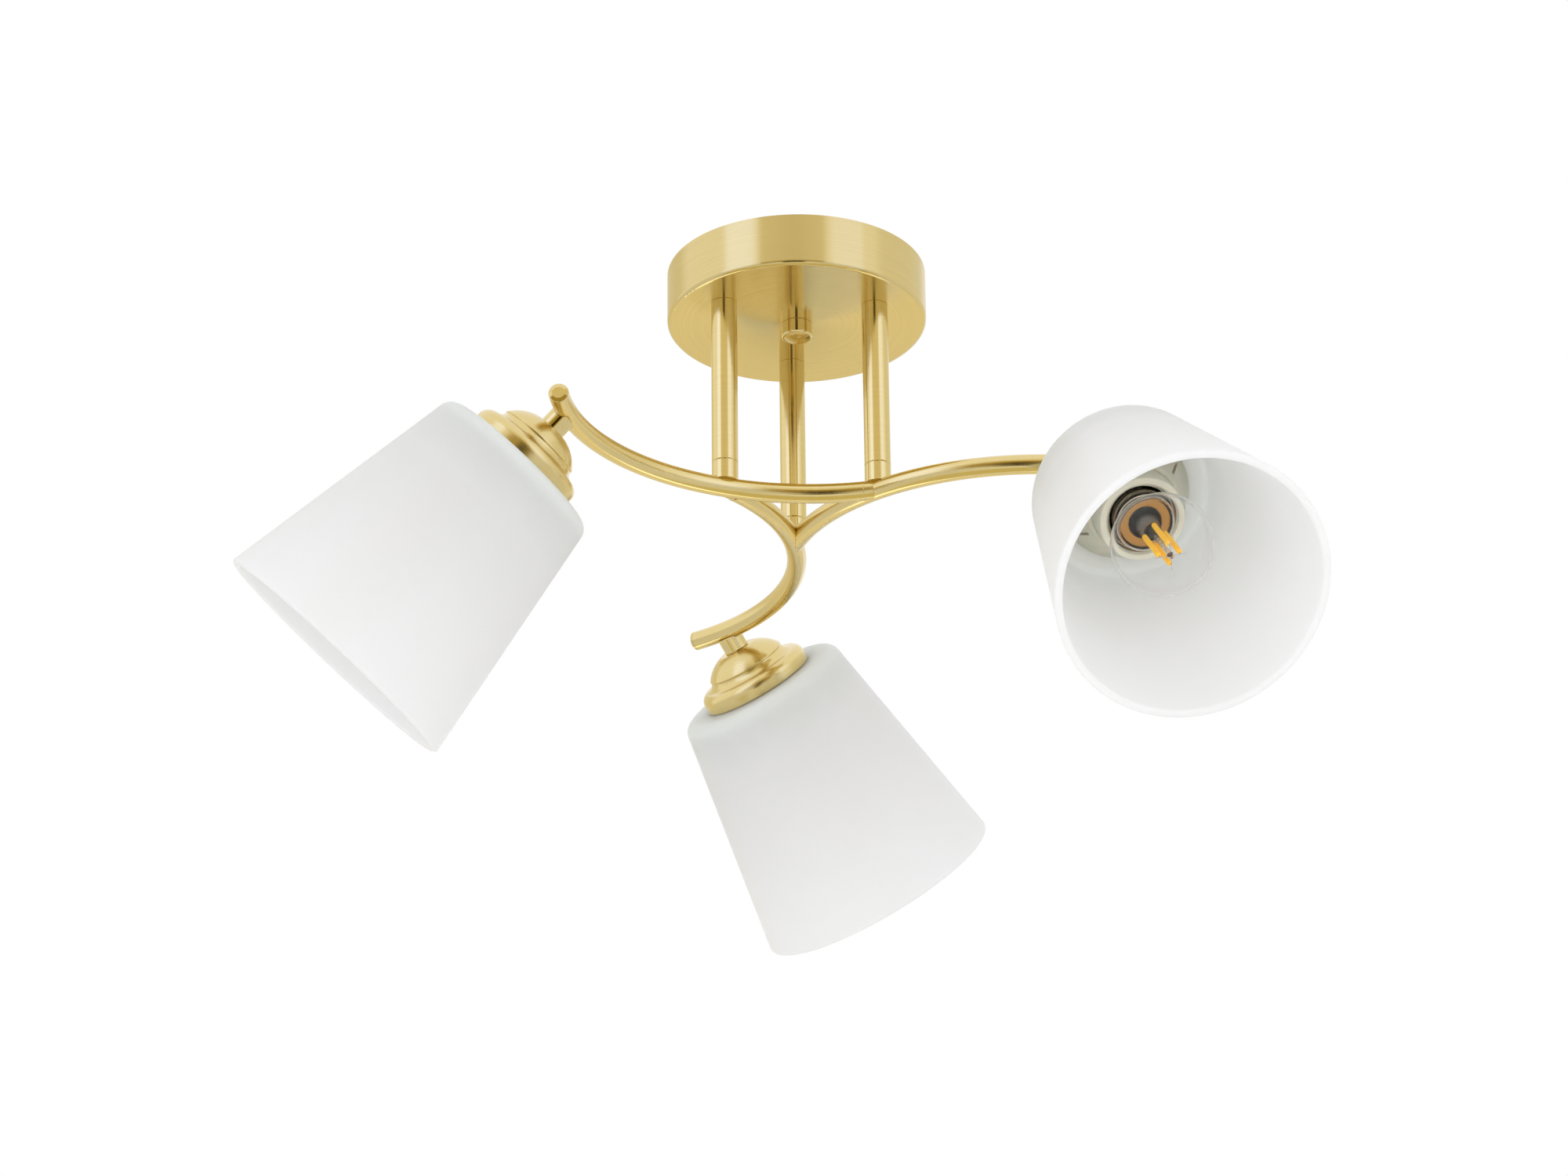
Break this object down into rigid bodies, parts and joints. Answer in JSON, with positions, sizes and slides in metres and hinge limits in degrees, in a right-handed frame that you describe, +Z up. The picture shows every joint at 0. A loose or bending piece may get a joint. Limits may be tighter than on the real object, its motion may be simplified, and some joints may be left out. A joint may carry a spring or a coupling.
{
  "type": "semi flush ceiling light",
  "caption": "Semi flush ceiling light with round brass canopy, straight stems, pinwheel tube arms and tilted opal glass cone shades over clear globe filament lamps.",
  "frame": {"origin": "centre of the ceiling face, in the plane of the canopy's rim and the top of the ceiling strap", "axes": "+Z up into the ceiling, +X along the strap and its slots, the stems stand at 90, 210 and 330 degrees about Z"},
  "size_m": [0.4663, 0.4533, 0.2657],
  "materials": {
    "satin_brass": "satin brushed",
    "polished_brass": "polished",
    "zinc_steel": "zinc plated",
    "terminal_brass": "plain",
    "nickel_shell": "nickel plated",
    "block_plastic": "matt",
    "holder_plastic": "matt cream",
    "dark_insulator": "glossy",
    "opal_glass": "matt opal",
    "clear_glass": "clear",
    "amber_phosphor": "matt",
    "fine_wire": "bright"
  },
  "bodies": {
    "fixture": {"canopy_shell": "satin_brass", "ceiling_strap": "zinc_steel", "centre_stud": "zinc_steel", "stud_lock_nut": "zinc_steel", "canopy_cap_nut": "polished_brass", "earth_screw": "terminal_brass", "terminal_block": "block_plastic", "terminal_screws": "zinc_steel", "stem_nuts": "zinc_steel", "stem_1": "satin_brass", "collar_1": "satin_brass", "arm_1": "satin_brass", "arm_plug_1": "polished_brass", "lamp_neck_1": "polished_brass", "cup_1": "satin_brass", "lampholder_1": "holder_plastic", "holder_sleeve_1": "nickel_shell", "holder_contact_1": "terminal_brass", "shade_1": "opal_glass", "shade_ring_1": "holder_plastic", "stem_2": "satin_brass", "collar_2": "satin_brass", "arm_2": "satin_brass", "arm_plug_2": "polished_brass", "lamp_neck_2": "polished_brass", "cup_2": "satin_brass", "lampholder_2": "holder_plastic", "holder_sleeve_2": "nickel_shell", "holder_contact_2": "terminal_brass", "shade_2": "opal_glass", "shade_ring_2": "holder_plastic", "stem_3": "satin_brass", "collar_3": "satin_brass", "arm_3": "satin_brass", "arm_plug_3": "polished_brass", "lamp_neck_3": "polished_brass", "cup_3": "satin_brass", "lampholder_3": "holder_plastic", "holder_sleeve_3": "nickel_shell", "holder_contact_3": "terminal_brass", "shade_3": "opal_glass", "shade_ring_3": "holder_plastic"},
    "bulb_1": {"bulb_globe_1": "clear_glass", "bulb_cap_1": "nickel_shell", "bulb_base_1": "dark_insulator", "bulb_mount_1": "clear_glass", "bulb_filaments_1": "amber_phosphor", "bulb_wires_1": "fine_wire"},
    "bulb_2": {"bulb_globe_2": "clear_glass", "bulb_cap_2": "nickel_shell", "bulb_base_2": "dark_insulator", "bulb_mount_2": "clear_glass", "bulb_filaments_2": "amber_phosphor", "bulb_wires_2": "fine_wire"},
    "bulb_3": {"bulb_globe_3": "clear_glass", "bulb_cap_3": "nickel_shell", "bulb_base_3": "dark_insulator", "bulb_mount_3": "clear_glass", "bulb_filaments_3": "amber_phosphor", "bulb_wires_3": "fine_wire"}
  },
  "joints": [
    {"name": "bulb_1_screw", "type": "hinge", "parent": "fixture", "child": "bulb_1", "pos_m": [-0.14795, -0.07986, -0.16213], "axis": [-0.6744, 0.2126, -0.7071], "range_deg": [0, 840]},
    {"name": "bulb_2_screw", "type": "hinge", "parent": "fixture", "child": "bulb_2", "pos_m": [0.14314, -0.0882, -0.16213], "axis": [0.153, -0.6903, -0.7071], "range_deg": [0, 840]},
    {"name": "bulb_3_screw", "type": "hinge", "parent": "fixture", "child": "bulb_3", "pos_m": [0.00482, 0.16806, -0.16213], "axis": [0.5213, 0.4777, -0.7071], "range_deg": [0, 840]}
  ]
}
